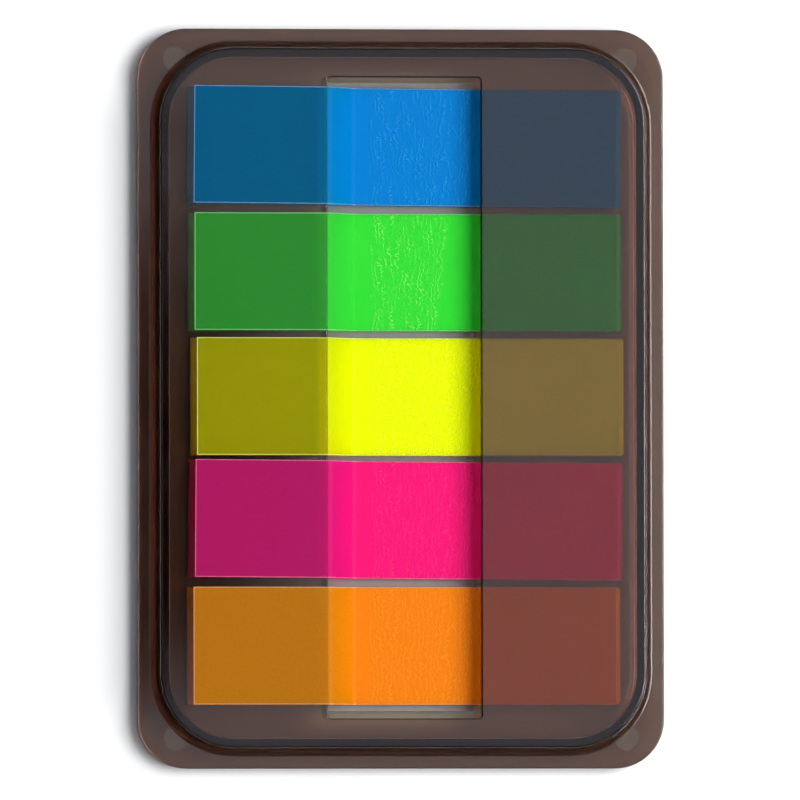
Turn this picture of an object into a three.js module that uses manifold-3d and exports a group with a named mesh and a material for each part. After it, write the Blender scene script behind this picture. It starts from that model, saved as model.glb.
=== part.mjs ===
// Film index tabs in a flat smoked pop-up case.
// Millimetres, +Z up. The origin is the centre of the case's underside, +X runs along the flags and
// +Y across them.
// The case is two mouldings: a base plate, and a cover whose raised box holds five pads of film flags
// side by side. A strip of double-sided tape holds the pads on the base plate. The first flag of each
// pad rises through the window of the cover and lies on the cover's left half.
import * as THREE from "three";
import { mergeVertices } from "three/addons/utils/BufferGeometryUtils.js";
import Module from "manifold-3d";

const wasm = await Module();
wasm.setup();

// Film flags. Their row sets the size of the case.
const flagLength = 44.0;
const flagWidth = 11.9;
const flagGap = 0.74; // between one pad and the next
const flagCorner = 0.35; // the corners of the right-hand end are a little rounded
const filmThickness = 0.1;
const padHeight = 1.35;
const padShift = [0.35, 0.19]; // the middle of the row of pads from the case's centre
const tabPull = 0.45; // how far each first tab is drawn out past the right-hand end of its pad
const riseRun = 3.1; // how far past the window's edge a tab comes down onto its pad
const riseBend = 0.8; // inside radius of the two bends in a rising tab
const bendSteps = 6;

// How each pad lies in its place: shift along X and Y, and turn in degrees
const flagLays = {
  blue: { colour: 0x0a86d8, shift: [-0.07, 0.0], turn: -0.47 },
  green: { colour: 0x1fdc3c, shift: [-0.02, -0.06], turn: 0 },
  yellow: { colour: 0xeeff0a, shift: [0.21, -0.06], turn: 0 },
  pink: { colour: 0xff1478, shift: [0.03, 0.1], turn: -0.43 },
  orange: { colour: 0xff8c0a, shift: [-0.16, 0.0], turn: 0 },
};
const padCount = Object.keys(flagLays).length;
const flagPitch = flagWidth + flagGap;
const rowLength = padCount * flagPitch - flagGap;

// Tape on the base plate, under the row of pads
const tapeWidth = 15.2;
const tapeOverhang = 0.62; // past each end of the row
const tapeThickness = 0.15;

// Raised box of the cover. The room is measured at the level of the flange.
const roomAtFlagEnds = 2.3;
const roomAtRowEnds = 3.82;
const boxFootCorner = 8.1;
const boxDraft = 0.55; // how far each wall leans in over its height
const wallThickness = 0.9;
const topPlateHeight = 1.0;
const topRound = 0.5;
const ceilingRound = 0.3;
const footRound = 0.25;

// Window in the top plate, and the guide rib along its left edge
const windowWidth = 15.6;
const windowEndRoom = 1.22; // past each end of the row of pads
const windowCorner = 0.35;
const windowShift = 0.1; // its centre, right of the case's centre line
const ribThickness = 0.5;
const ribDepth = 0.6; // how far it reaches below the top plate
const ribRoom = 0.7; // between the rib and the tabs that slide under it

// Base plate, and the cover's flange that is welded to it
const basePlateHeight = 1.0;
const flangeHeight = 1.0;
const flangeWidth = 1.55; // past the foot of the raised box
const caseCorner = 5.0;
const rimRound = 0.3; // round on the outer edges of the base plate and the flange
const outlineSteps = 12; // straight steps in each rounded corner
const roundSteps = 4; // straight steps in each edge round

// Locating pegs on the base plate, and their sockets in the cover's flange
const pegDiameter = 2.5;
const pegHeight = 0.6;
const pegInsetX = 3.85; // from the outline's side
const pegInsetY = 3.1; // from the outline's end
const socketClearance = 0.1; // round the peg and above it
const pegSteps = 24;

// Sizes that follow
const boxFootWidth = flagLength + 2 * (roomAtFlagEnds + wallThickness);
const boxFootLength = rowLength + 2 * (roomAtRowEnds + wallThickness);
const caseWidth = boxFootWidth + 2 * flangeWidth;
const caseLength = boxFootLength + 2 * flangeWidth;
const windowLength = rowLength + 2 * windowEndRoom;
const windowLeft = windowShift - windowWidth / 2;
const tapeLength = rowLength + 2 * tapeOverhang;

// Levels
const flangeBottom = basePlateHeight;
const flangeTop = flangeBottom + flangeHeight;
const tapeTop = basePlateHeight + tapeThickness;
const padTop = tapeTop + padHeight;
const ceiling = padTop + filmThickness + ribRoom + ribDepth;
const caseTop = ceiling + topPlateHeight;
const boxRise = caseTop - flangeTop;

const smokedPlastic = new THREE.MeshStandardMaterial({
  color: 0x3a2d28,
  roughness: 0.12,
  metalness: 0,
  transparent: true,
  opacity: 0.6,
});
const tapeFilm = new THREE.MeshStandardMaterial({ color: 0xcfc4bc, roughness: 0.6, metalness: 0 });

// Points of a rectangle with rounded corners, anticlockwise from the right-hand side's lower end.
function roundedRectangle(width, length, radius) {
  const points = [];
  for (let corner = 0; corner < 4; corner++) {
    const centreX = (corner === 0 || corner === 3 ? 1 : -1) * (width / 2 - radius);
    const centreY = (corner < 2 ? 1 : -1) * (length / 2 - radius);
    for (let step = 0; step <= outlineSteps; step++) {
      const angle = ((corner + step / outlineSteps) * Math.PI) / 2;
      points.push([centreX + radius * Math.cos(angle), centreY + radius * Math.sin(angle)]);
    }
  }
  return points;
}

// A closed solid through rings of the same number of points. Each ring is { points, z }, and the
// first and the last are filled as flat faces. The surface runs outward-facing from the first ring,
// which faces down, to the last, which faces up.
function loft(rings) {
  const count = rings[0].points.length;
  const positions = rings.flatMap(({ points, z }) => points.flatMap(([x, y]) => [x, y, z]));
  const faces = [];
  for (let ring = 0; ring + 1 < rings.length; ring++) {
    for (let i = 0; i < count; i++) {
      const next = (i + 1) % count;
      const below = ring * count;
      const above = below + count;
      faces.push(below + i, below + next, above + next);
      faces.push(below + i, above + next, above + i);
    }
  }
  const cap = (ring, facesUp) => {
    const outline = ring.points.map(([x, y]) => new THREE.Vector2(x, y));
    const start = rings.indexOf(ring) * count;
    for (const [a, b, c] of THREE.ShapeUtils.triangulateShape(outline, [])) {
      if (facesUp) faces.push(start + a, start + b, start + c);
      else faces.push(start + a, start + c, start + b);
    }
  };
  cap(rings[0], false);
  cap(rings[rings.length - 1], true);
  const geometry = new THREE.BufferGeometry();
  geometry.setAttribute("position", new THREE.Float32BufferAttribute(positions, 3));
  geometry.setIndex(faces);
  return geometry;
}

// Offsets along a quarter round from one face to the next: [part of the radius moved along the
// first face's direction, part moved along the second's].
function quarterRound(radius) {
  return Array.from({ length: roundSteps + 1 }, (_, step) => {
    const angle = (step / roundSteps) * (Math.PI / 2);
    return [radius * Math.sin(angle), radius * (1 - Math.cos(angle))];
  });
}

// Rings of the case outline, drawn in by inset at height z.
function outlineRing(inset, z) {
  const radius = caseCorner - inset;
  return { points: roundedRectangle(caseWidth - 2 * inset, caseLength - 2 * inset, radius), z };
}

// Rings of the raised box's outer wall, drawn in by inset at height z.
function boxRing(inset, z) {
  const radius = boxFootCorner - inset;
  return { points: roundedRectangle(boxFootWidth - 2 * inset, boxFootLength - 2 * inset, radius), z };
}

// How far the outer wall leans in at height z.
function leanAt(z) {
  return (boxDraft * (z - flangeTop)) / boxRise;
}

// A flat slab of the case outline whose edges are rounded.
function slabRings(bottom, top) {
  const lower = quarterRound(rimRound).map(([out, up]) => outlineRing(rimRound - out, bottom + up));
  const upper = quarterRound(rimRound).map(([up, inward]) => outlineRing(inward, top - rimRound + up));
  return [...lower, ...upper];
}

function solidOf(geometry) {
  const positionOnly = geometry.index ? geometry.toNonIndexed() : geometry.clone();
  positionOnly.deleteAttribute("normal");
  positionOnly.deleteAttribute("uv");
  const merged = mergeVertices(positionOnly, 1e-4);
  return new wasm.Manifold(
    new wasm.Mesh({
      numProp: 3,
      vertProperties: new Float32Array(merged.attributes.position.array),
      triVerts: new Uint32Array(merged.index.array),
    }),
  );
}

function geometryOf(solid) {
  const mesh = solid.getMesh();
  const geometry = new THREE.BufferGeometry();
  geometry.setAttribute("position", new THREE.BufferAttribute(mesh.vertProperties, 3));
  geometry.setIndex(new THREE.BufferAttribute(mesh.triVerts, 1));
  return geometry.toNonIndexed();
}

function meshOf(name, geometry, material) {
  geometry.computeVertexNormals();
  const mesh = new THREE.Mesh(geometry, material.clone());
  mesh.name = name;
  return mesh;
}

// A box by its lowest and highest corners.
function boxSolid([x0, y0, z0], [x1, y1, z1]) {
  const geometry = new THREE.BoxGeometry(x1 - x0, y1 - y0, z1 - z0);
  geometry.translate((x0 + x1) / 2, (y0 + y1) / 2, (z0 + z1) / 2);
  return solidOf(geometry);
}

// An upright cylinder on each peg's place.
function atPegs(diameter, bottom, top) {
  const x = caseWidth / 2 - pegInsetX;
  const y = caseLength / 2 - pegInsetY;
  const places = [
    [x, y],
    [-x, y],
    [-x, -y],
    [x, -y],
  ];
  return places.map(([placeX, placeY]) => {
    const geometry = new THREE.CylinderGeometry(diameter / 2, diameter / 2, top - bottom, pegSteps);
    geometry.rotateX(Math.PI / 2);
    geometry.translate(placeX, placeY, (bottom + top) / 2);
    return solidOf(geometry);
  });
}

function basePlate() {
  const sunk = basePlateHeight / 2; // the pegs start inside the plate, so that they join it
  let solid = solidOf(loft(slabRings(0, basePlateHeight)));
  for (const peg of atPegs(pegDiameter, sunk, basePlateHeight + pegHeight)) {
    solid = solid.add(peg);
  }
  return meshOf("base_plate", geometryOf(solid), smokedPlastic);
}

// The cover's outside: the flange, the foot round, the leaning wall and the round of the top edge.
function coverOutside() {
  const flange = slabRings(flangeBottom, flangeTop);
  const foot = quarterRound(footRound).map(([inward, up]) => {
    const z = flangeTop + up;
    return boxRing(leanAt(z) - footRound + inward, z);
  });
  const top = quarterRound(topRound).map(([up, inward]) => {
    const z = caseTop - topRound + up;
    return boxRing(leanAt(z) + inward, z);
  });
  return solidOf(loft([...flange, ...foot, ...top]));
}

// The hollow under the top plate. It is open at the flange's underside.
function coverInside() {
  const below = flangeBottom - flangeHeight;
  const top = quarterRound(ceilingRound).map(([up, inward]) => {
    const z = ceiling - ceilingRound + up;
    return boxRing(wallThickness + leanAt(z) + inward, z);
  });
  return solidOf(loft([boxRing(wallThickness + leanAt(below), below), ...top]));
}

// The window's opening, through the top plate and past both its faces.
function windowOpening() {
  const ring = (z) => ({
    points: roundedRectangle(windowWidth, windowLength, windowCorner).map(([x, y]) => [x + windowShift, y]),
    z,
  });
  return solidOf(loft([ring(ceiling - ribDepth - topPlateHeight), ring(caseTop + topPlateHeight)]));
}

function cover() {
  const rib = boxSolid(
    [windowLeft - ribThickness, -windowLength / 2, ceiling - ribDepth],
    [windowLeft + windowCorner, windowLength / 2, ceiling + topPlateHeight / 2],
  );
  let solid = coverOutside().subtract(coverInside()).add(rib).subtract(windowOpening());
  const socketTop = flangeBottom + pegHeight + socketClearance;
  const socketBottom = flangeBottom - flangeHeight;
  for (const socket of atPegs(pegDiameter + 2 * socketClearance, socketBottom, socketTop)) {
    solid = solid.subtract(socket);
  }
  return meshOf("cover", geometryOf(solid), smokedPlastic);
}

function tapeStrip() {
  const geometry = new THREE.BoxGeometry(tapeWidth, tapeLength, tapeThickness);
  geometry.translate(0, padShift[1], basePlateHeight + tapeThickness / 2);
  return meshOf("tape_strip", geometry, tapeFilm);
}

// A flag's outline from above, centred on its pad: square left-hand corners, rounded right-hand ones.
function flagOutline() {
  const x = flagLength / 2;
  const y = flagWidth / 2;
  const outline = new THREE.Shape();
  outline.moveTo(-x, -y);
  outline.lineTo(x - flagCorner, -y);
  outline.absarc(x - flagCorner, -y + flagCorner, flagCorner, -Math.PI / 2, 0, false);
  outline.absarc(x - flagCorner, y - flagCorner, flagCorner, 0, Math.PI / 2, false);
  outline.lineTo(-x, y);
  outline.closePath();
  return outline;
}

function pad(name, material) {
  const geometry = new THREE.ExtrudeGeometry(flagOutline(), {
    depth: padHeight,
    bevelEnabled: false,
    curveSegments: roundSteps,
  });
  geometry.translate(0, 0, tapeTop);
  return meshOf(name, geometry, material);
}

// The side view of a rising tab: points { x, z, lean } along its underside from its right-hand end,
// where lean is the angle by which the film climbs towards the left. The two bends and the straight
// ramp between them are tangent to the pad's top and to the cover's top.
function tabUnderside(lipX) {
  const drop = caseTop - padTop;
  const outerBend = riseBend + filmThickness; // at the foot the underside is the outside of the bend
  const radii = outerBend + riseBend;
  const centreDistance = Math.hypot(riseRun, drop - radii);
  const lean = Math.atan2(drop - radii, riseRun) + Math.asin(radii / centreDistance);
  const footX = lipX + riseRun;
  const right = flagLength / 2 - tabPull;
  const rampLength = Math.sqrt(centreDistance ** 2 - radii ** 2);
  const curveLength = rampLength + radii * lean;
  const left = lipX - (flagLength - (right - footX) - curveLength);
  const points = [{ x: right, z: padTop, lean: 0 }];
  for (let step = 0; step <= bendSteps; step++) {
    const angle = (lean * step) / bendSteps;
    const x = footX - outerBend * Math.sin(angle);
    const z = padTop + outerBend * (1 - Math.cos(angle));
    points.push({ x, z, lean: angle });
  }
  for (let step = bendSteps; step >= 0; step--) {
    const angle = (lean * step) / bendSteps;
    const x = lipX + riseBend * Math.sin(angle);
    const z = caseTop - riseBend * (1 - Math.cos(angle));
    points.push({ x, z, lean: angle });
  }
  points.push({ x: left, z: caseTop, lean: 0 });
  return points;
}

function tab(name, material, lipX) {
  const underside = tabUnderside(lipX);
  const upperSide = underside.map(({ x, z, lean }) => ({
    x: x + filmThickness * Math.sin(lean),
    z: z + filmThickness * Math.cos(lean),
  }));
  const profile = [...underside, ...upperSide.reverse()].map(({ x, z }) => new THREE.Vector2(x, z));
  const geometry = new THREE.ExtrudeGeometry(new THREE.Shape(profile), {
    depth: flagWidth,
    bevelEnabled: false,
  });
  geometry.rotateX(Math.PI / 2);
  geometry.translate(0, flagWidth / 2, 0);
  return meshOf(name, geometry, material);
}

// A pad with its first tab, turned and shifted as it lies.
function flagSet(colourName, lay, row) {
  const set = new THREE.Group();
  const material = new THREE.MeshStandardMaterial({ color: lay.colour, roughness: 0.55, metalness: 0 });
  const middleX = padShift[0] + lay.shift[0];
  const middleY = padShift[1] + lay.shift[1] - row * flagPitch;
  set.add(pad(`pad_${colourName}`, material));
  set.add(tab(`tab_${colourName}`, material, windowLeft - middleX));
  set.rotation.z = THREE.MathUtils.degToRad(lay.turn);
  set.position.set(middleX, middleY, 0);
  return set;
}

const indexTabs = new THREE.Group();
indexTabs.add(basePlate(), cover(), tapeStrip());
Object.entries(flagLays).forEach(([colourName, lay], i, all) => {
  indexTabs.add(flagSet(colourName, lay, i - (all.length - 1) / 2));
});

export default indexTabs;
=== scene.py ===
"""Looks of the film index tabs in their flat smoked pop-up case.

Everything is in metres in the CAD part's frame: +X runs along the flags, +Y across them, +Z up.
The smoked mouldings, the pads, the tabs and the tape are finer meshes that stand for the CAD nodes.
"""
import math
import random

import bmesh
import bpy
import numpy as np
from mathutils import Matrix, Vector


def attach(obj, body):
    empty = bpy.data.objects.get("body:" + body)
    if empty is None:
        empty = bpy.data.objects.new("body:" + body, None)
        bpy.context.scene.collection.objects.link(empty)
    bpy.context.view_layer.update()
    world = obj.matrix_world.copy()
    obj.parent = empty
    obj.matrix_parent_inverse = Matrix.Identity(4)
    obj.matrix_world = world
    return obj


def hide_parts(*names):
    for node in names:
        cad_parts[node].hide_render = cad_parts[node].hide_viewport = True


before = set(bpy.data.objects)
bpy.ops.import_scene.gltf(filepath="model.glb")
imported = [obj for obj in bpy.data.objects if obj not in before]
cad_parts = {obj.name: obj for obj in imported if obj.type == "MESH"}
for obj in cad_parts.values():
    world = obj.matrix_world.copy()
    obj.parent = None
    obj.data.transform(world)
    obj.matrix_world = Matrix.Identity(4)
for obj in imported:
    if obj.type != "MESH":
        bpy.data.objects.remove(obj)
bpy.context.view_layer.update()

MM = 0.001

# Sizes that the CAD part has too, in millimetres
FLAG_LENGTH = 44.0
FLAG_WIDTH = 11.9
FLAG_CORNER = 0.35
FLAG_PITCH = 12.64
PAD_SHIFT = (0.35, 0.19)
TAB_PULL = 0.45
RISE_RUN = 3.1
RISE_BEND = 0.8
CASE_SIZE = (53.5, 75.0)
CASE_CORNER = 5.0
BOX_FOOT = (50.4, 71.9)
BOX_FOOT_CORNER = 8.1
BOX_DRAFT = 0.55
WALL = 0.9
WINDOW_SIZE = (15.6, 64.9)
WINDOW_CORNER = 0.35
WINDOW_X = 0.1
RIB_THICKNESS = 0.5
PEG_INSET = (3.85, 3.1)
PEG_RADIUS = 1.25
TAPE_SIZE = (15.2, 63.7)

# Levels, in millimetres above the desk
PLATE_TOP = 1.0
PEG_TOP = 1.6
TAPE_TOP = 1.15
PAD_TOP = 2.5
FLANGE_TOP = 2.0
RIB_BOTTOM = 3.3
CEILING = 3.9
CASE_TOP = 4.9

# Each flag's place: shift along X and Y, and turn in degrees
LAYS = {
    "blue": ((-0.07, 0.0), -0.47),
    "green": ((-0.02, -0.06), 0.0),
    "yellow": ((0.21, -0.06), 0.0),
    "pink": ((0.03, 0.1), -0.43),
    "orange": ((-0.16, 0.0), 0.0),
}

# Fine sizes of the visible meshes, in millimetres
SOCKET_CLEARANCE = 0.03  # round the peg and above it, narrower than in the CAD part
AIR = 0.02  # air gap where two pieces touch, so that no two faces coincide
RIM_ROUND = 0.18
FOOT_ROUND = 0.35
TOP_ROUND = 0.22
CEILING_ROUND = 0.12
WINDOW_ROUND = 0.16
WALL_MARK = 0.03  # how far inside the window's outline a face of its wall may lie
LIP_CLEAR = 0.002  # how far the lip's cutter stands above the top plate
CUT_MARGIN = 1.0  # how far a cutter reaches past what it cuts
FILM = 0.08
EDGE_HIGHLIGHT_STRIP = 0.1  # the cut edge of a film shows as a pale painted highlight this wide
OUTER_BEND_EXTRA = 0.1  # how much wider the tab's lower bend is than its upper one
LAYER_SLIP = 0.035  # how far a flag of the pad may lie out of line
LAYER_GROOVE = 0.03
TAPE_RAGGED = 0.25  # how far the tape's right-hand edge wanders
TAPE_UNEVEN = 0.06  # and its left-hand one

# How finely the meshes are divided
CORNER_STEPS = 20
ROUND_STEPS = 6
FLAG_CORNER_STEPS = 6
PAD_LAYERS = 22
FILM_ROWS_ON_PAD = 50
FILM_ROWS_ON_COVER = 40
FILM_ROWS_IN_BEND = 13
FILM_COLUMNS = 24
TAPE_STEPS = 160
SHARP_DEGREES = 38  # edges above this angle stay sharp
FLAT_FACE_WEIGHT = 80
MERGE_DISTANCE = 1e-7  # metres

# Shares
PIN_CORNER = 0.999  # of a pin's radius, so that no side of its outline has zero length
LIP_WALL = 0.7  # of the window's round that still looks like its wall
LEVEL_FACE = 0.95  # a face whose normal rises by more than this is level
LAYER_EDGE = 0.2  # of a layer's thickness, over which its groove runs out

PAD_SEED = 11
TAPE_SEED = 5


def rounded_rectangle(width, length, radius, centre=(0.0, 0.0)):
    """Points of a rectangle with rounded corners, anticlockwise."""
    points = []
    for corner in range(4):
        centre_x = centre[0] + (1 if corner in (0, 3) else -1) * (width / 2 - radius)
        centre_y = centre[1] + (1 if corner < 2 else -1) * (length / 2 - radius)
        for step in range(CORNER_STEPS + 1):
            angle = (corner + step / CORNER_STEPS) * math.pi / 2
            points.append((centre_x + radius * math.cos(angle), centre_y + radius * math.sin(angle)))
    return points


def quarter_round(radius):
    """Offsets along a quarter round, from one face's direction to the next one's."""
    steps = [step / ROUND_STEPS * math.pi / 2 for step in range(ROUND_STEPS + 1)]
    return [(radius * math.sin(a), radius * (1 - math.cos(a))) for a in steps]


def mesh_object(name, vertices, faces):
    """A mesh object from points in millimetres."""
    mesh = bpy.data.meshes.new(name)
    mesh.from_pydata([tuple(c * MM for c in v) for v in vertices], [], faces)
    mesh.update()
    obj = bpy.data.objects.new(name, mesh)
    bpy.context.scene.collection.objects.link(obj)
    return obj


def loft(name, rings):
    """A closed solid through rings (points, z) of the same number of points, from the bottom up."""
    count = len(rings[0][0])
    vertices = [(x, y, z) for points, z in rings for x, y in points]
    faces = []
    for ring in range(len(rings) - 1):
        for i in range(count):
            j = (i + 1) % count
            low, high = ring * count, (ring + 1) * count
            faces.append((low + i, low + j, high + j, high + i))
    last = (len(rings) - 1) * count
    faces.append(tuple(reversed(range(count))))
    faces.append(tuple(range(last, last + count)))
    return mesh_object(name, vertices, faces)


def box_solid(name, low, high):
    """A box by its lowest and highest corners."""
    (x0, y0, z0), (x1, y1, z1) = low, high
    ring = [(x0, y0), (x1, y0), (x1, y1), (x0, y1)]
    return loft(name, [(ring, z0), (ring, z1)])


def boolean(target, cutter, operation):
    """Joins cutter to target, or takes it off, and removes cutter."""
    modifier = target.modifiers.new("cut", "BOOLEAN")
    modifier.operation = operation
    modifier.solver = "EXACT"
    modifier.object = cutter
    graph = bpy.context.evaluated_depsgraph_get()
    mesh = bpy.data.meshes.new_from_object(target.evaluated_get(graph))
    target.modifiers.clear()
    target.data = mesh
    bpy.data.objects.remove(cutter)


def smooth(obj):
    """Smooth shading that keeps flat faces flat and the sharp edges sharp."""
    made = bmesh.new()
    made.from_mesh(obj.data)
    bmesh.ops.remove_doubles(made, verts=made.verts, dist=MERGE_DISTANCE)
    made.to_mesh(obj.data)
    made.free()
    obj.data.shade_smooth()
    obj.data.set_sharp_from_angle(angle=math.radians(SHARP_DEGREES))
    modifier = obj.modifiers.new("flat faces stay flat", "WEIGHTED_NORMAL")
    modifier.keep_sharp = True
    modifier.weight = FLAT_FACE_WEIGHT


def inset_ring(size, corner, inset, z):
    """A ring for loft: the rounded outline, drawn in by inset, at a height."""
    return rounded_rectangle(size[0] - 2 * inset, size[1] - 2 * inset, corner - inset), z


def lean_at(z):
    """How far the raised box's wall has leaned in at a height."""
    return BOX_DRAFT * (z - FLANGE_TOP) / (CASE_TOP - FLANGE_TOP)


def slab_rings(bottom, top):
    """A flat slab of the case outline whose edges are rounded."""
    lower = [
        inset_ring(CASE_SIZE, CASE_CORNER, RIM_ROUND - out, bottom + up)
        for out, up in quarter_round(RIM_ROUND)
    ]
    upper = [
        inset_ring(CASE_SIZE, CASE_CORNER, inward, top - RIM_ROUND + up)
        for up, inward in quarter_round(RIM_ROUND)
    ]
    return lower + upper


def at_pegs(name, radius, bottom, top):
    """An upright pin at each peg's place."""
    pins = []
    for side_x in (-1, 1):
        for side_y in (-1, 1):
            x = side_x * (CASE_SIZE[0] / 2 - PEG_INSET[0])
            y = side_y * (CASE_SIZE[1] / 2 - PEG_INSET[1])
            points = rounded_rectangle(2 * radius, 2 * radius, radius * PIN_CORNER, (x, y))
            pins.append(loft(name, [(points, bottom), (points, top)]))
    return pins


def build_base():
    """The flat lower plate and its pegs."""
    base = loft("base_plate_smoked", slab_rings(0.0, PLATE_TOP))
    for pin in at_pegs("pin", PEG_RADIUS, PLATE_TOP / 2, PEG_TOP):
        boolean(base, pin, "UNION")
    smooth(base)
    return base


def mark_window_wall(cover):
    """Gives the faces of the window's upright wall the second material, which paints them dark as
    shade.
    """
    for face in cover.data.polygons:
        x, y, _ = face.center / MM
        outside = max(abs(x - WINDOW_X) - WINDOW_SIZE[0] / 2, abs(y) - WINDOW_SIZE[1] / 2)
        on_wall = -WALL_MARK < outside < LIP_WALL * WINDOW_ROUND
        face.material_index = int(on_wall and abs(face.normal.z) < LEVEL_FACE)


def build_cover():
    """Flange, raised box with its hollow, window, rib and sockets.

    The hollow's wall is upright here, while the CAD part's leans in with the outside.
    """
    bottom = PLATE_TOP + AIR
    flange = slab_rings(bottom, FLANGE_TOP)
    foot = []
    for inward, up in quarter_round(FOOT_ROUND):
        z = FLANGE_TOP + up
        foot.append(inset_ring(BOX_FOOT, BOX_FOOT_CORNER, lean_at(z) - FOOT_ROUND + inward, z))
    top = []
    for up, inward in quarter_round(TOP_ROUND):
        z = CASE_TOP - TOP_ROUND + up
        top.append(inset_ring(BOX_FOOT, BOX_FOOT_CORNER, lean_at(z) + inward, z))
    cover = loft("cover_smoked", flange + foot + top)

    ceiling = []
    for up, inward in quarter_round(CEILING_ROUND):
        z = CEILING - CEILING_ROUND + up
        ceiling.append(inset_ring(BOX_FOOT, BOX_FOOT_CORNER, WALL + BOX_DRAFT + inward, z))
    below = inset_ring(BOX_FOOT, BOX_FOOT_CORNER, WALL + BOX_DRAFT, 0.0)
    boolean(cover, loft("hollow", [below] + ceiling), "DIFFERENCE")

    window_left = WINDOW_X - WINDOW_SIZE[0] / 2
    half = WINDOW_SIZE[1] / 2
    rib = box_solid(
        "rib",
        (window_left - RIB_THICKNESS, -half, RIB_BOTTOM),
        (window_left + WINDOW_CORNER, half, (CEILING + CASE_TOP) / 2),
    )
    boolean(cover, rib, "UNION")

    def window_ring(out, z):
        """A ring for loft: the window's outline, widened by out."""
        size = (WINDOW_SIZE[0] + 2 * out, WINDOW_SIZE[1] + 2 * out)
        return rounded_rectangle(size[0], size[1], WINDOW_CORNER + out, (WINDOW_X, 0.0)), z

    lip = [
        window_ring(out, CASE_TOP - WINDOW_ROUND + up + LIP_CLEAR)
        for up, out in quarter_round(WINDOW_ROUND)
    ]
    below_rib = window_ring(0.0, RIB_BOTTOM - CUT_MARGIN)
    above_case = window_ring(WINDOW_ROUND, CASE_TOP + CUT_MARGIN)
    boolean(cover, loft("opening", [below_rib, *lip, above_case]), "DIFFERENCE")
    mark_window_wall(cover)
    for socket in at_pegs("socket", PEG_RADIUS + SOCKET_CLEARANCE, 0.0, PEG_TOP + SOCKET_CLEARANCE):
        boolean(cover, socket, "DIFFERENCE")
    smooth(cover)
    return cover


def flag_matrix(index, colour):
    """Where a flag's own frame lies: its middle, turned as the flag is."""
    (dx, dy), turn = LAYS[colour]
    row = index - (len(LAYS) - 1) / 2
    place = ((PAD_SHIFT[0] + dx) * MM, (PAD_SHIFT[1] + dy - row * FLAG_PITCH) * MM, 0.0)
    return Matrix.Translation(place) @ Matrix.Rotation(math.radians(turn), 4, "Z")


def flag_outline(inset=0.0, shift=(0.0, 0.0)):
    """The flag from above: square left-hand corners, rounded right-hand ones."""
    x, y, r = FLAG_LENGTH / 2 - inset, FLAG_WIDTH / 2 - inset, FLAG_CORNER
    points = [(-x, -y)]
    for corner, start in ((-1, -math.pi / 2), (1, 0.0)):
        for step in range(FLAG_CORNER_STEPS + 1):
            angle = start + step / FLAG_CORNER_STEPS * math.pi / 2
            points.append((x - r + r * math.cos(angle), corner * (y - r) + r * math.sin(angle)))
    points.append((-x, y))
    return [(px + shift[0], py + shift[1]) for px, py in points]


def build_pad(colour, index):
    """A stack of flags, each a hair out of line with its neighbours."""
    draw = random.Random(index + PAD_SEED)
    bottom = TAPE_TOP + AIR
    thickness = (PAD_TOP - bottom) / PAD_LAYERS
    rings = []
    for layer in range(PAD_LAYERS):
        slip = (draw.uniform(-LAYER_SLIP, LAYER_SLIP), draw.uniform(-LAYER_SLIP, LAYER_SLIP))
        z = bottom + layer * thickness
        levels = (LAYER_GROOVE, 0.0), (0.0, LAYER_EDGE), (0.0, 1 - LAYER_EDGE), (LAYER_GROOVE, 1.0)
        for inset, part in levels:
            rings.append((flag_outline(inset, slip), z + part * thickness))
    pad = loft(f"pad_{colour}_stack", rings)
    pad.matrix_world = flag_matrix(index, colour)
    pad.data.shade_flat()
    return pad


def tab_profile(lip_x):
    """Side view of a rising tab's underside, from its right-hand end to the free left-hand one.

    Each point has X, Z and the angle by which the film climbs there.
    """
    drop = CASE_TOP - PAD_TOP
    outer_bend = RISE_BEND + OUTER_BEND_EXTRA
    radii = outer_bend + RISE_BEND
    centres = math.hypot(RISE_RUN, drop - radii)
    lean = math.atan2(drop - radii, RISE_RUN) + math.asin(radii / centres)
    foot_x = lip_x + RISE_RUN
    right = FLAG_LENGTH / 2 - TAB_PULL
    climb = math.sqrt(centres**2 - radii**2)
    left = lip_x - (FLAG_LENGTH - (right - foot_x) - (climb + radii * lean))
    points = [(x, PAD_TOP, 0.0) for x in np.linspace(right, foot_x, FILM_ROWS_ON_PAD)[:-1]]
    for angle in np.linspace(0, lean, FILM_ROWS_IN_BEND):
        x = foot_x - outer_bend * math.sin(angle)
        points.append((x, PAD_TOP + outer_bend * (1 - math.cos(angle)), angle))
    for angle in np.linspace(lean, 0, FILM_ROWS_IN_BEND):
        x = lip_x + RISE_BEND * math.sin(angle)
        points.append((x, CASE_TOP - RISE_BEND * (1 - math.cos(angle)), angle))
    on_cover = np.linspace(lip_x, left + EDGE_HIGHLIGHT_STRIP, FILM_ROWS_ON_COVER)
    points += [(x, CASE_TOP, 0.0) for x in on_cover[1:]]
    points.append((left, CASE_TOP, 0.0))
    return points


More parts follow.
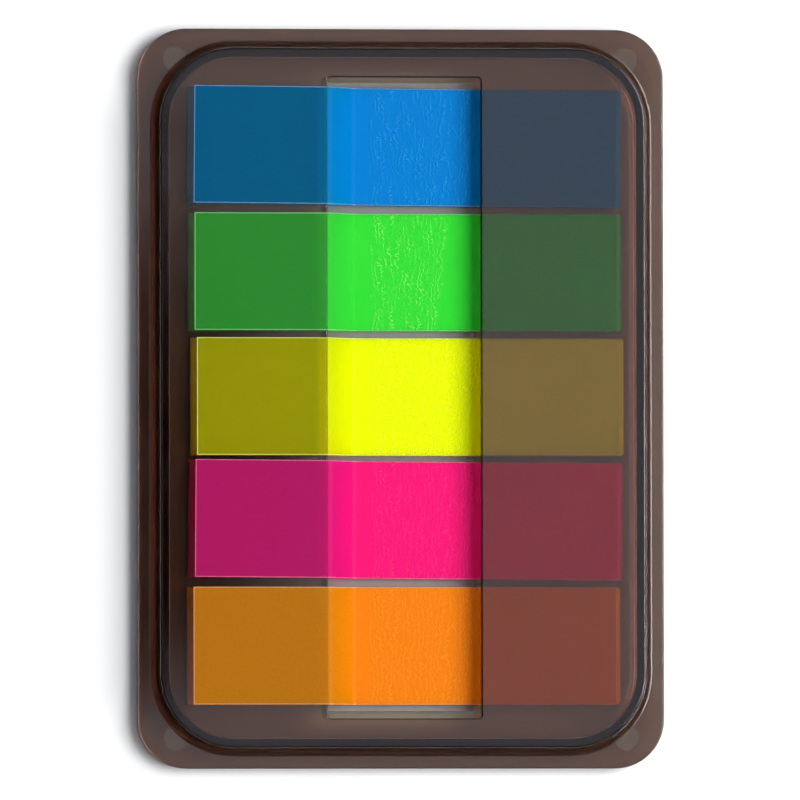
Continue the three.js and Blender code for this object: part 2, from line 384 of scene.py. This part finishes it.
def build_tab(colour, index):
    """The first flag of a pad: a thin film that rises through the window and lies on the cover."""
    (dx, _), _ = LAYS[colour]
    lip_x = WINDOW_X - WINDOW_SIZE[0] / 2 - PAD_SHIFT[0] - dx
    profile = tab_profile(lip_x)
    half = FLAG_WIDTH / 2
    across = [-half, *np.linspace(-half + EDGE_HIGHLIGHT_STRIP, half - EDGE_HIGHLIGHT_STRIP, FILM_COLUMNS + 1), half]
    vertices = []
    for x, z, lean in profile:
        for level in (AIR, AIR + FILM):
            vertices += [(x + level * math.sin(lean), y, z + level * math.cos(lean)) for y in across]
    row = len(across)
    faces, highlight_edge_faces = [], set()

    def add(face, on_highlight_edge):
        """Adds a face, and notes it where it lies on the film's edge, which gets the pale painted
        highlight.
        """
        if on_highlight_edge:
            highlight_edge_faces.add(len(faces))
        faces.append(face)

    for i in range(len(profile) - 1):
        near, far = i * 2 * row, (i + 1) * 2 * row
        at_end = i == len(profile) - 2
        for step in range(row - 1):
            on_highlight_edge = at_end or step in (0, row - 2)
            under = (near + step, near + step + 1, far + step + 1, far + step)
            add(under, on_highlight_edge)
            add(tuple(v + row for v in reversed(under)), on_highlight_edge)
        for step in (0, row - 1):
            side = (near + step, far + step, far + step + row, near + step + row)
            add(side if step == 0 else tuple(reversed(side)), True)
    for start, flip in ((0, False), ((len(profile) - 1) * 2 * row, True)):
        for step in range(row - 1):
            end = (start + step, start + row + step, start + row + step + 1, start + step + 1)
            add(tuple(reversed(end)) if flip else end, True)
    tab = mesh_object(f"tab_{colour}_film", vertices, faces)
    # Faces on the film's edge take the second material, a pale painted highlight.
    for polygon in tab.data.polygons:
        polygon.material_index = 1 if polygon.index in highlight_edge_faces else 0
    tab.matrix_world = flag_matrix(index, colour)
    tab.data.shade_smooth()
    tab.data.set_sharp_from_angle(angle=math.radians(SHARP_DEGREES))
    return tab


def build_tape():
    """Double-sided tape whose right-hand edge is a little ragged."""
    draw = random.Random(TAPE_SEED)
    width, length = TAPE_SIZE
    right, left = [], []
    for step in range(TAPE_STEPS + 1):
        y = PAD_SHIFT[1] + (step / TAPE_STEPS - 0.5) * length
        right.append((width / 2 - draw.uniform(0.0, TAPE_RAGGED), y))
        left.append((-width / 2 + draw.uniform(0.0, TAPE_UNEVEN), y))
    outline = right + left[::-1]
    tape = loft("tape_strip_film", [(outline, PLATE_TOP + AIR), (outline, TAPE_TOP)])
    tape.data.shade_flat()
    return tape


# Materials


def new_material(name):
    """An empty node material and its tree."""
    material = bpy.data.materials.new(name)
    material.use_nodes = True
    tree = material.node_tree
    tree.nodes.clear()
    return material, tree


def node(tree, kind, **values):
    """A node whose settings and sockets are given by name, or a socket by number as in _0.

    A value that is itself a socket is linked.
    """
    made = tree.nodes.new(kind)
    for key, value in values.items():
        if hasattr(made, key) and key not in made.inputs:
            setattr(made, key, value)
            continue
        socket = made.inputs[int(key[1:]) if key.startswith("_") else key.replace("_", " ")]
        if isinstance(value, bpy.types.NodeSocket):
            tree.links.new(value, socket)
        else:
            socket.default_value = value
    return made


def connect(tree, shader, volume=None):
    """Leads a shader, and a volume if there is one, to the material's output."""
    out = node(tree, "ShaderNodeOutputMaterial")
    tree.links.new(shader, out.inputs["Surface"])
    if volume:
        tree.links.new(volume, out.inputs["Volume"])


def mix(tree, factor, first, second):
    """A mix of two shaders."""
    made = node(tree, "ShaderNodeMixShader", Fac=factor)
    tree.links.new(first.outputs[0], made.inputs[1])
    tree.links.new(second.outputs[0], made.inputs[2])
    return made


def blend(tree, factor, first, second):
    """A mix of two colours."""
    return node(tree, "ShaderNodeMix", data_type="RGBA", _0=factor, _6=first, _7=second).outputs[2]


def math_node(tree, operation, *values):
    """The result of a scalar operation."""
    inputs = {f"_{i}": value for i, value in enumerate(values)}
    return node(tree, "ShaderNodeMath", operation=operation, **inputs).outputs[0]


def stretched_noise(tree, place, per_metre, detail=2.0):
    """Noise whose grains are 1 / per_metre long along each axis."""
    scaled = node(tree, "ShaderNodeVectorMath", operation="MULTIPLY", _0=place, _1=per_metre)
    noise = node(tree, "ShaderNodeTexNoise", Vector=scaled.outputs[0], Scale=1.0, Detail=detail)
    return noise.outputs["Fac"]


def ramp(tree, value, low, high, at_low=0.0, at_high=1.0):
    """A straight ramp that is clamped at both ends."""
    limits = {"From_Min": low, "From_Max": high, "To_Min": at_low, "To_Max": at_high}
    return node(tree, "ShaderNodeMapRange", Value=value, **limits).outputs[0]


SMOKE_DENSITY = 1000.0  # each channel then loses (1 - colour) per millimetre, as an exponent
POLISH = 0.04  # roughness of the clearest spots


def smoke_material(name, colour, cloud):
    """Smoked clear plastic: absorbs inside, glossy outside, with a faint ripple and haze."""
    material, tree = new_material(name)
    place = node(tree, "ShaderNodeTexCoord").outputs["Object"]
    ripple = node(tree, "ShaderNodeTexNoise", Vector=place, Scale=90.0, Detail=3.0, Roughness=0.5)
    haze = node(tree, "ShaderNodeTexNoise", Vector=place, Scale=160.0, Detail=5.0, Roughness=0.65)
    rough = ramp(tree, haze.outputs["Fac"], low=0.4, high=0.7, at_low=POLISH, at_high=POLISH + cloud)
    bump = node(tree, "ShaderNodeBump", Height=ripple.outputs["Fac"], Strength=0.03, Distance=0.00012)
    surface = node(
        tree, "ShaderNodeBsdfPrincipled", Base_Color=(0.98, 0.975, 0.97, 1),
        Roughness=rough, IOR=1.5, Normal=bump.outputs["Normal"],
    )
    surface.inputs["Transmission Weight"].default_value = 1.0
    inside = node(tree, "ShaderNodeVolumeAbsorption", Color=colour, Density=SMOKE_DENSITY)
    connect(tree, surface.outputs[0], inside.outputs[0])
    return material


FILM_COLOURS = {
    "blue": (0.0, 0.31, 0.74),
    "green": (0.1, 0.8, 0.11),
    "yellow": (0.88, 0.98, 0.0),
    "pink": (0.99, 0.022, 0.32),
    "orange": (0.99, 0.4, 0.004),
}
# On a crackle line
PALE_COLOURS = {
    "blue": (0.03, 0.52, 0.85),
    "green": (0.5, 1.0, 0.25),
    "yellow": (1.0, 1.0, 0.2),
    "pink": (1.0, 0.14, 0.42),
    "orange": (1.0, 0.55, 0.08),
}
SEE_THROUGH = {"blue": 0.78, "green": 0.78, "yellow": 0.8, "pink": 0.64, "orange": 0.56}
CRACKLE_STRENGTH = {"blue": 1.0, "green": 0.9, "yellow": 0.35, "pink": 0.5, "orange": 0.45}
CRACKLE_SEE_THROUGH = 0.3
GLOW_SHARE = 0.5  # of the light that a film scatters, the part that leaves on its other side
LEAST_CLEAR = 0.3  # the least that the see-through part of a film passes in any channel
FILM_SHEEN = 0.25  # specular level
DUSKY = 0.9  # the darker grain's share of the film's colour
FILM_GRAIN = (3600.0, 3600.0, 0.0)  # grains per metre along each axis, as all the grains below

# Where the film clings to its pad, in millimetres along X from the flag's middle
CRACKLE_FROM = -3.6
CRACKLE_END = {"blue": 7.3, "green": 4.2, "yellow": 7.0, "pink": 7.2, "orange": 7.2}
CRACKLE_LEAN = 0.14  # the end's shift along X for a step along Y
CRACKLE_FADE_IN = 0.2
CRACKLE_FADE_OUT = 0.3
CRACKLE_LINES = 1900.0  # lines per metre
CRACKLE_WANDER = 4.5  # how many lines' spacing a line wanders slowly
CRACKLE_JAG = 2.4  # and how many it zigzags
WANDER_GRAIN = (420.0, 160.0, 0.0)
JAG_GRAIN = (1500.0, 3200.0, 0.0)
BREAK_GRAIN = (900.0, 420.0, 0.0)

# In a pad
PALE_LAYERS = 0.1
LAYER_GRAIN = (300.0, 300.0, 9000.0)
PAD_SCATTER = 0.8  # subsurface weight
PAD_SCATTER_REACH = 0.0016  # metres

# On a film's cut edge, where a pale highlight is painted, and in the tape
NICK_GRAIN = (4000.0, 4000.0, 4000.0)
EDGE_HIGHLIGHT_SEE_THROUGH = 0.62
TAPE_GLOW = 0.25


def crackle(tree, place, colour):
    """Fine jagged lines across the film where it clings to the pad below: 1 on a line, 0 beside it."""
    parts = node(tree, "ShaderNodeSeparateXYZ", Vector=place)
    x, y = parts.outputs["X"], parts.outputs["Y"]
    wander = stretched_noise(tree, place, WANDER_GRAIN)
    jag = stretched_noise(tree, place, JAG_GRAIN, 3.0)
    across = math_node(tree, "MULTIPLY", x, CRACKLE_LINES)
    bent = math_node(tree, "MULTIPLY_ADD", wander, CRACKLE_WANDER, across)
    jagged = math_node(tree, "MULTIPLY_ADD", jag, CRACKLE_JAG, bent)
    off_line = math_node(tree, "PINGPONG", jagged, 0.5)
    line = ramp(tree, off_line, low=0.04, high=0.15, at_low=1.0, at_high=0.0)
    breaks = stretched_noise(tree, place, BREAK_GRAIN)
    broken = ramp(tree, breaks, low=0.36, high=0.6, at_low=0.2)
    start = ramp(tree, x, CRACKLE_FROM * MM, (CRACKLE_FROM + CRACKLE_FADE_IN) * MM)
    leaning = math_node(tree, "MULTIPLY_ADD", y, -CRACKLE_LEAN, x)
    last = CRACKLE_END[colour]
    end = ramp(tree, leaning, (last - CRACKLE_FADE_OUT) * MM, last * MM, 1.0, 0.0)
    zone = math_node(tree, "MULTIPLY", start, end)
    strength = math_node(tree, "MULTIPLY", broken, CRACKLE_STRENGTH[colour])
    return math_node(tree, "MULTIPLY", math_node(tree, "MULTIPLY", line, zone), strength)


def neon_tint(tree, place, colour, lines):
    """The film's finely grained colour, paler on the crackle lines."""
    grain = ramp(tree, stretched_noise(tree, place, FILM_GRAIN, 3.0), low=0.3, high=0.7)
    bright = FILM_COLOURS[colour]
    dusky = tuple(DUSKY * c for c in bright)
    grained = blend(tree, grain, (*dusky, 1), (*bright, 1))
    return blend(tree, lines, grained, (*PALE_COLOURS[colour], 1))


def film_material(colour):
    """Neon film: part of the light comes back, part goes through, coloured and scattered."""
    material, tree = new_material(f"film {colour}")
    place = node(tree, "ShaderNodeTexCoord").outputs["Object"]
    grain = node(tree, "ShaderNodeTexNoise", Vector=place, Scale=2500.0, Detail=4.0, Roughness=0.6)
    lines = crackle(tree, place, colour)
    tint = neon_tint(tree, place, colour, lines)
    bump = node(tree, "ShaderNodeBump", Height=grain.outputs["Fac"], Strength=0.1, Distance=0.00003)
    matte = node(
        tree, "ShaderNodeBsdfPrincipled", Base_Color=tint, Roughness=0.5, Normal=bump.outputs["Normal"],
    )
    matte.inputs["Specular IOR Level"].default_value = FILM_SHEEN
    glow = node(tree, "ShaderNodeBsdfTranslucent", Color=tint, Normal=bump.outputs["Normal"])
    strongest = max(FILM_COLOURS[colour])
    passed = [min(1.0, 3 * c / strongest) ** 0.5 for c in FILM_COLOURS[colour]]
    through = [LEAST_CLEAR + (1 - LEAST_CLEAR) * c for c in passed]
    clear = node(tree, "ShaderNodeBsdfTransparent", Color=(*through, 1))
    share = ramp(tree, lines, 0.0, 1.0, SEE_THROUGH[colour], CRACKLE_SEE_THROUGH)
    body = mix(tree, GLOW_SHARE, matte, glow)
    connect(tree, mix(tree, share, body, clear).outputs[0])
    return material


def pad_material(colour):
    """A stack of neon films: light wanders sideways in it before it comes out."""
    material, tree = new_material(f"pad {colour}")
    place = node(tree, "ShaderNodeTexCoord").outputs["Object"]
    layers = stretched_noise(tree, place, LAYER_GRAIN)
    tint = neon_tint(tree, place, colour, math_node(tree, "MULTIPLY", layers, PALE_LAYERS))
    body = node(tree, "ShaderNodeBsdfPrincipled", Base_Color=tint, Roughness=0.5)
    body.inputs["Specular IOR Level"].default_value = FILM_SHEEN
    body.inputs["Subsurface Weight"].default_value = PAD_SCATTER
    body.inputs["Subsurface Radius"].default_value = (1.0, 1.0, 1.0)
    body.inputs["Subsurface Scale"].default_value = PAD_SCATTER_REACH
    connect(tree, body.outputs[0])
    return material


def dark_painted_window_wall():
    """The window's moulded wall, smoked clear plastic, painted opaque and nearly black: painted shade
    for the smoke seen along its depth.
    """
    material, tree = new_material("window wall painted dark")
    wall = node(
        tree, "ShaderNodeBsdfPrincipled", Base_Color=(0.012, 0.01, 0.01, 1), Roughness=0.35, IOR=1.5,
    )
    connect(tree, wall.outputs[0])
    return material


def highlight_tint(colour, share, lift):
    """A share of the film's colour, lifted towards white for the highlight painted on its edge."""
    return tuple(share * c + lift for c in FILM_COLOURS[colour])


def edge_highlight_material(colour):
    """The cut edge of a film, painted paler than its face as a highlight."""
    material, tree = new_material(f"edge highlight {colour}")
    place = node(tree, "ShaderNodeTexCoord").outputs["Object"]
    nicks = stretched_noise(tree, place, NICK_GRAIN)
    low = highlight_tint(colour, share=0.85, lift=0.06)
    high = highlight_tint(colour, share=0.7, lift=0.25)
    tint = blend(tree, ramp(tree, nicks, low=0.35, high=0.65), (*low, 1), (*high, 1))
    matte = node(tree, "ShaderNodeBsdfPrincipled", Base_Color=tint, Roughness=0.4)
    through = highlight_tint(colour, share=0.5, lift=0.5)
    clear = node(tree, "ShaderNodeBsdfTransparent", Color=(*through, 1))
    connect(tree, mix(tree, EDGE_HIGHLIGHT_SEE_THROUGH, matte, clear).outputs[0])
    return material


def tape_material():
    """Mottled tape that lets a little light through. Its grey stands partly for dark plastic seen
    through the thin tape and partly as painted shade in the gaps between the pads.
    """
    material, tree = new_material("tape film")
    place = node(tree, "ShaderNodeTexCoord").outputs["Object"]
    mottle = node(tree, "ShaderNodeTexNoise", Vector=place, Scale=700.0, Detail=4.0, Roughness=0.6)
    # Partly painted shade: this grey darkens the tape where it shows in the gaps between the pads.
    tint = blend(tree, mottle.outputs["Fac"], (0.28, 0.27, 0.26, 1), (0.42, 0.4, 0.39, 1))
    matte = node(tree, "ShaderNodeBsdfPrincipled", Base_Color=tint, Roughness=0.55)
    glow = node(tree, "ShaderNodeBsdfTranslucent", Color=(0.45, 0.43, 0.41, 1))
    connect(tree, mix(tree, TAPE_GLOW, matte, glow).outputs[0])
    return material


def keep(piece, cad_node, slot_name, *materials):
    """Hides the CAD part that the piece stands for, hangs the piece on the root body, and gives it its
    materials.
    """
    for material in materials:
        piece.data.materials.append(material)
    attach(piece, "root")
    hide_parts(cad_node)


base_look = smoke_material("smoked base", (0.66, 0.56, 0.36, 1), 0.05)
cover_look = smoke_material("smoked cover", (0.5, 0.2, 0.06, 1), 0.03)
keep(build_base(), "base_plate", "smoked_base", base_look)
# The cover's second material paints the window's wall nearly black as shade.
keep(build_cover(), "cover", "smoked_cover", cover_look, dark_painted_window_wall())
keep(build_tape(), "tape_strip", "tape", tape_material())
for index, colour in enumerate(FILM_COLOURS):
    keep(build_pad(colour, index), f"pad_{colour}", f"pad_{colour}", pad_material(colour))
    # Each tab's second material paints a pale highlight along its cut edge.
    looks = film_material(colour), edge_highlight_material(colour)
    keep(build_tab(colour, index), f"tab_{colour}", f"film_{colour}", *looks)


# Floor, lamps and camera


CAMERA_DISTANCE = 1.5  # metres
CAMERA_FROM_LEFT = 5.0  # degrees, as are the next two
CAMERA_FROM_BELOW = 2.0
CAMERA_ROLL = -0.09
CAMERA_TARGET = (-0.03, -0.11)  # millimetres
PIXELS_PER_MM = 9.86
PICTURE_WIDTH = 800  # pixels
SENSOR_WIDTH = 36.0
FLOOR_HALF = 1500  # millimetres
COOL_WHITE = (0.85, 0.97, 1.15)

# Where the cover mirrors the dark shapes, in millimetres
DARK_CAMERA_CENTRE = (-36.0, -6.9)
DARK_CAMERA_RADIUS = 25.6
DARK_CAMERA_SIDES = 48
DARK_LEG = [(-24.9, -28.6), (-21.2, -28.6), (-21.2, 30.0), (-24.9, 30.0)]


def softbox(name, azimuth, elevation, distance, size, radiance, colour=(1.0, 1.0, 1.0)):
    """A square lamp turned to the object.

    Azimuth runs from +X towards +Y. Angles are in degrees, distance and size in metres.
    """
    lamp = bpy.data.lights.new(name, "AREA")
    lamp.shape = "SQUARE"
    lamp.size = size
    lamp.energy = radiance * math.pi * size**2
    lamp.color = colour
    a, e = math.radians(azimuth), math.radians(elevation)
    obj = bpy.data.objects.new(name, lamp)
    towards = (math.cos(a) * math.cos(e), math.sin(a) * math.cos(e), math.sin(e))
    obj.location = [distance * c for c in towards]
    obj.rotation_mode = "QUATERNION"
    obj.rotation_quaternion = Vector(obj.location).to_track_quat("Z", "Y")
    obj.visible_camera = False
    bpy.context.scene.collection.objects.link(obj)


def build_floor():
    """A wide white table."""
    side = FLOOR_HALF
    corners = [(-side, -side, -AIR), (side, -side, -AIR), (side, side, -AIR), (-side, side, -AIR)]
    floor = mesh_object("floor", corners, [(0, 1, 2, 3)])
    material, tree = new_material("white table")
    connect(tree, node(tree, "ShaderNodeBsdfDiffuse", Color=(0.92, 0.92, 0.92, 1)).outputs[0])
    floor.data.materials.append(material)


def build_world():
    """A dim room, darker on the left, that fills in the light and is mirrored in the case."""
    world = bpy.data.worlds.new("studio")
    world.use_nodes = True
    tree = world.node_tree
    tree.nodes.clear()
    direction = node(tree, "ShaderNodeTexCoord").outputs["Generated"]
    parts = node(tree, "ShaderNodeSeparateXYZ", Vector=direction)
    level = ramp(tree, parts.outputs["X"], low=-0.5, high=0.5, at_low=0.02, at_high=0.3)
    room = node(tree, "ShaderNodeBackground", Color=(1, 1, 1, 1), Strength=level)
    out = node(tree, "ShaderNodeOutputWorld")
    tree.links.new(room.outputs[0], out.inputs["Surface"])
    bpy.context.scene.world = world


def camera_back():
    """The direction from the object to the camera."""
    x = -math.tan(math.radians(CAMERA_FROM_LEFT))
    y = -math.tan(math.radians(CAMERA_FROM_BELOW))
    return Vector((x, y, 1.0)).normalized()


def mirrored(name, outline):
    """A dark shape level with the camera, seen only in reflections and through the smoke.

    The outline is where the cover mirrors it.
    """
    place = camera_back() * CAMERA_DISTANCE / MM
    points = [(2 * x - place.x, 2 * y - place.y, place.z) for x, y in outline]
    shape = mesh_object(name, points, [tuple(range(len(outline)))])
    material, tree = new_material("black")
    connect(tree, node(tree, "ShaderNodeBsdfDiffuse", Color=(0.01, 0.01, 0.01, 1)).outputs[0])
    shape.data.materials.append(material)
    shape.visible_camera = False
    shape.visible_diffuse = False
    shape.visible_shadow = False


def build_dark_shapes():
    """The dark camera and the leg of its stand, which the glossy case mirrors on its left."""
    (x, y), radius = DARK_CAMERA_CENTRE, DARK_CAMERA_RADIUS
    angles = np.linspace(0, 2 * math.pi, DARK_CAMERA_SIDES, endpoint=False)
    mirrored("dark_camera", [(x + radius * math.cos(a), y + radius * math.sin(a)) for a in angles])
    mirrored("dark_leg", DARK_LEG)


def build_camera():
    """A long lens nearly overhead, a little to the left of the case and below it."""
    back = camera_back()
    side = Vector((0.0, 1.0, 0.0)).cross(back).normalized()
    up = back.cross(side)
    data = bpy.data.cameras.new("camera")
    data.sensor_width = SENSOR_WIDTH
    data.lens = SENSOR_WIDTH * CAMERA_DISTANCE / (PICTURE_WIDTH / PIXELS_PER_MM * MM)
    data.clip_start, data.clip_end = 0.01, 10.0
    camera = bpy.data.objects.new("camera", data)
    target = Vector((*CAMERA_TARGET, PLATE_TOP)) * MM
    roll = Matrix.Rotation(math.radians(CAMERA_ROLL), 4, "Z")
    turn = Matrix((side, up, back)).transposed().to_4x4() @ roll
    camera.matrix_world = Matrix.Translation(target + back * CAMERA_DISTANCE) @ turn
    bpy.context.scene.collection.objects.link(camera)
    bpy.context.scene.camera = camera


build_floor()
build_world()
build_dark_shapes()
softbox("key", azimuth=6, elevation=54, distance=1.2, size=0.85, radiance=8.8)
softbox("ceiling", azimuth=22, elevation=86, distance=2.2, size=1.6, radiance=0.72, colour=COOL_WHITE)
build_camera()
bpy.context.scene.view_settings.view_transform = "Standard"

bpy.context.view_layer.update()
